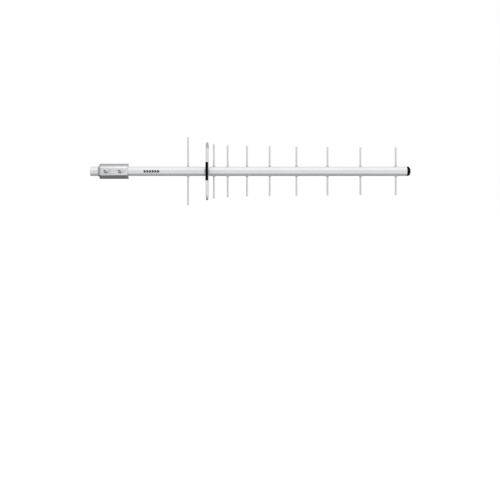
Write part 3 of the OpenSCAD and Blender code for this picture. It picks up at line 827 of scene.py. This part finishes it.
def build_bracket():
    """The pressing behind the boom, notched for the mast, with wings that taper towards it."""
    end, over = CLAMP_L / 2, BRACKET_HALF + 5
    taper_y, taper_in = -27.61, 8.4
    x_to_z = Matrix(((0, 1, 0, 0), (0, 0, 1, 0), (1, 0, 0, 0), (0, 0, 0, 1)))
    mast = bar((0, 0, -over), (0, 0, over), MAST_R, 160)
    holes = [drill(s * LEG_X, BOOM_Y, 0, BOLT_HOLE_R) for s in BOTH]
    tapers = []
    for side in BOTH:
        corners = ((end + 0.5, taper_y), (end + 3, taper_y), (end + 3, 1), (end - taper_in, 1))
        taper = prism([(side * x, y) for x, y in corners], -over, over)
        taper.transform(x_to_z)
        tapers.append(taper)
    sheet = prism(bracket_outline(), -end, end)
    sheet = shaped(sheet, cut=[mast] + holes + tapers, bevel=0.3, segments=3)
    piece("mast_saddle", sheet, "bracket", ["mast_bracket"])


def build_u_bolt():
    """A rod bent round the mast, with a thread on the front of both legs."""
    pitch, root, threaded, step = 1.0, 2.5, 26, 0.125
    legs = [BOLT_END_Y + k * step for k in range(int(threaded / step) + 1)]
    legs += [legs[-1] + 1, -20, -10]
    path = [(-LEG_X, y, 0) for y in legs]
    path += [(x, y, 0) for x, y in arc((0, 0), LEG_X, 180, 0, 72)]
    path += [(LEG_X, y, 0) for y in reversed(legs)]
    total = length_of(path)

    def radius(s, t):
        from_end = min(s, total - s)
        if from_end > threaded:
            return BOLT_R
        fade = min(1.0, (threaded - from_end) / 1.5)
        r = BOLT_R - (BOLT_R - root) * (1 - ridge(s / pitch + t / (2 * PI))) * fade
        return min(r, 2.35 + from_end * 0.9)

    rod = sweep(path, radius, 36)
    piece("u_bolt_rod", rod, "bolt", ["u_bolt"], "u_bolt", crease=60)


def split_washer(x, y):
    """A spring washer in front of a flat one that is as thick, with its slanting gap at the top."""
    steps, gap, slant, thick = 48, 7, 6, 1.6
    ring = bmesh.new()
    edges = []
    for h, shift in ((thick, slant), (2 * thick, -slant)):
        rows = []
        for k in range(steps + 1):
            a = math.radians(90 + gap + shift + (360 - 2 * gap) * k / steps)
            rows.append([ring.verts.new((x + r * math.cos(a), y - h, r * math.sin(a)))
                         for r in (3.2, 5.4)])
        edges += zip(*rows)
    back_in, back_out, front_in, front_out = edges
    walls = ((back_in, back_out), (front_in, front_out), (back_in, front_in), (back_out, front_out))
    for k in range(steps):
        for a, b in walls:
            ring.faces.new((a[k], b[k], b[k + 1], a[k + 1]))
    for k in (0, steps):
        ring.faces.new((back_in[k], back_out[k], front_out[k], front_in[k]))
    bmesh.ops.recalc_face_normals(ring, faces=ring.faces)
    return shaped(ring, bevel=0.15)


def build_washers():
    """A flat washer on the saddle's face on each leg, and a spring washer on it."""
    profile = [(3.2, 0.1), (3.3, 0), (5.9, 0), (6, 0.1), (6, 1.4), (5.8, 1.6), (3.35, 1.6), (3.2, 1.45)]
    flats = [aim(lathe(profile, 64), TO_FRONT, (s * LEG_X, SADDLE_Y, 0)) for s in BOTH]
    springs = [split_washer(s * LEG_X, SADDLE_Y) for s in BOTH]
    piece("washers", together(flats), "nut", ["flat_washers"], crease=30)
    piece("split_washers", together(springs), "nut", ["spring_washers"])


def build_nuts():
    """Two hexagon nuts with chamfered corners, countersinks and a cut thread."""
    for side, node in zip(BOTH, ("nut_left", "nut_right")):
        low, high = cad(node)
        r, h = (high.z - low.z) / 2, high.y - low.y
        hexagon = lathe([(0, 0), (r, 0), (r, h), (0, h)], 6)
        hexagon.transform(Matrix.Rotation(math.radians(30), 4, "Z"))
        corners = lathe([(0, 0), (4.75, 0), (5.95, 0.65), (5.95, h - 0.65), (4.75, h), (0, h)], 96)
        thread = threaded_bar(3.04, 3.3, h + 4, 1.0)
        thread.transform(Matrix.Translation((0, 0, -2)))
        sinks = [lathe([(0, -1), (3.5, -1), (3.5, 0), (3.0, 0.5), (0, 0.5)]),
                 lathe([(0, h - 0.5), (3.0, h - 0.5), (3.5, h), (3.5, h + 1), (0, h + 1)])]
        nut = shaped(shaped(hexagon, keep=[corners]), cut=[thread] + sinks)
        lie = Matrix.Rotation(math.radians(90), 4, "X")
        nut.transform(Matrix.Translation((side * LEG_X, high.y, 0)) @ lie)
        piece(node + "_hex", nut, "nut", [node], node, crease=25)


# ------------------------------------------------------------------ printed direction mark

def build_mark():
    """Six printed chevrons that point to the nose, wrapped on the front of the boom."""
    first_x, step, count, slices = 80.4, 7.2, 6, 8
    stroke, point, tall, lower = 5.3, 2.8, 3.3, 0.5
    r = BOOM_R + 0.03
    bm = bmesh.new()
    for k in range(count):
        for up in BOTH:
            for i in range(slices):
                a, b = i / slices, (i + 1) / slices
                corners = []
                for share, edge in ((a, 0), (a, 1), (b, 1), (b, 0)):
                    angle = (up * tall * (1 - share) - lower) / BOOM_R
                    x = first_x + k * step + share * point + edge * stroke
                    corners.append(bm.verts.new((x, BOOM_Y - r * math.cos(angle), r * math.sin(angle))))
                bm.faces.new(corners)
    bmesh.ops.remove_doubles(bm, verts=bm.verts, dist=0.001)
    piece("printed_chevrons", bm, "ink", [])


# ------------------------------------------------------------------ stage, light and camera, in metres

MIDDLE_X = 0.366

# Brightness of the studio by the height of a direction, from straight down to straight up.
SKY = [(-1.0, 0.24), (-0.92, 0.3), (-0.8, 0.62), (-0.62, 1.0), (-0.5, 0.97), (-0.25, 0.76), (0.0, 0.86),
       (0.5, 0.86), (1.0, 0.92)]


def build_stage():
    """A plain pale floor well below the antenna, which neither lights it nor shows in it."""
    bm = bmesh.new()
    bmesh.ops.create_grid(bm, x_segments=4, y_segments=4, size=14)
    mesh = bpy.data.meshes.new("floor")
    bm.to_mesh(mesh)
    bm.free()
    floor = bpy.data.objects.new("floor", mesh)
    floor.location = (MIDDLE_X, 0, -0.85)
    scene.collection.objects.link(floor)
    white = (0.93, 0.93, 0.93)
    m = Shader("pale_floor", white, NOT_METAL, 0.8, Emission_Color=(1, 1, 1, 1), Emission_Strength=0.75)
    m.paint(m.noise(400, 2), 0.99, 1.01)
    mesh.materials.append(m.material)
    floor.visible_diffuse = floor.visible_glossy = False


def build_world():
    """White to the camera. To the antenna, soft light that varies with the direction."""
    world = bpy.data.worlds.new("studio")
    scene.world = world
    world.use_nodes = True
    tree = world.node_tree
    tree.nodes.clear()

    def fade(value, start, end, low, high):
        inputs = {"Value": value, "From Min": start, "From Max": end, "To Min": low, "To Max": high}
        return add_node(tree, "MapRange", inputs, interpolation_type="SMOOTHSTEP").outputs[0]

    def times(a, b):
        inputs = {"Factor": 1.0, "A": a, "B": b}
        return add_node(tree, "Mix", inputs, data_type="RGBA", blend_type="MULTIPLY").outputs["Result"]

    place = add_node(tree, "TexCoord", {}).outputs["Generated"]
    x, y, z = add_node(tree, "SeparateXYZ", {0: place}).outputs
    height = add_node(tree, "MapRange", {"Value": z, "From Min": -1}).outputs[0]
    ramp = add_node(tree, "ValToRGB", {0: height})
    elements = ramp.color_ramp.elements
    while len(elements) < len(SKY):
        elements.new(0.5)
    for e, (up, level) in zip(elements, SKY):
        e.position = (up + 1) / 2
        e.color = (level, level, level * 1.01, 1)
    below_behind = add_node(tree, "Math", {0: y, 1: z}, operation="SUBTRACT").outputs[0]
    light = times(ramp.outputs[0], fade(x, -0.5, 0.05, 0.85, 1.0))  # less from the tail's side
    light = times(light, fade(below_behind, 1.0, 1.3, 1.0, 0.25))  # little from below and behind
    lit = add_node(tree, "Background", {"Color": light})
    seen = add_node(tree, "Background", {"Color": (1, 1, 1, 1)})
    by_camera = add_node(tree, "LightPath", {}).outputs["Is Camera Ray"]
    mix = add_node(tree, "MixShader", {0: by_camera, 1: lit.outputs[0], 2: seen.outputs[0]})
    add_node(tree, "OutputWorld", {0: mix.outputs[0]})


def build_key_light():
    """A large soft light in front of the antenna and above it."""
    at, target = Vector((0.3, -1.3, 1.9)), Vector((0.36, -0.03, 0))
    data = bpy.data.lights.new("key", "AREA")
    data.shape, data.size, data.size_y, data.energy = "RECTANGLE", 3.4, 2.2, 8
    light = bpy.data.objects.new("key", data)
    light.location = at
    light.rotation_euler = (target - at).to_track_quat("-Z", "Y").to_euler()
    light.visible_camera = False
    scene.collection.objects.link(light)


def build_camera():
    """Square in front of the boom. The shift puts the antenna above the middle, as photographed."""
    distance, height = 1.748, -0.018
    data = bpy.data.cameras.new("camera")
    data.lens, data.sensor_width = 46.8, 36
    data.shift_y = -0.1441
    data.clip_end = 60
    camera = bpy.data.objects.new("camera", data)
    camera.location = (MIDDLE_X, BOOM_Y / 1000 - distance, height)
    camera.rotation_euler = (math.radians(90), 0, 0)
    scene.collection.objects.link(camera)
    scene.camera = camera
    scene.view_settings.view_transform = "Standard"


build_camera()
build_stage()
build_world()
build_key_light()

build_boom()
build_cap()
build_elements()
build_bushes()
build_dipole()
build_feed()
build_seat()
build_clip()
build_connector()
build_clamp_saddle()
build_bracket()
build_u_bolt()
build_washers()
build_nuts()
build_mark()

for node, look in (("feed_terminals", "brass"), ("feed_pigtail", "coax")):
    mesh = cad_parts[node].data
    mesh.materials.clear()
    mesh.materials.append(MAT[look])
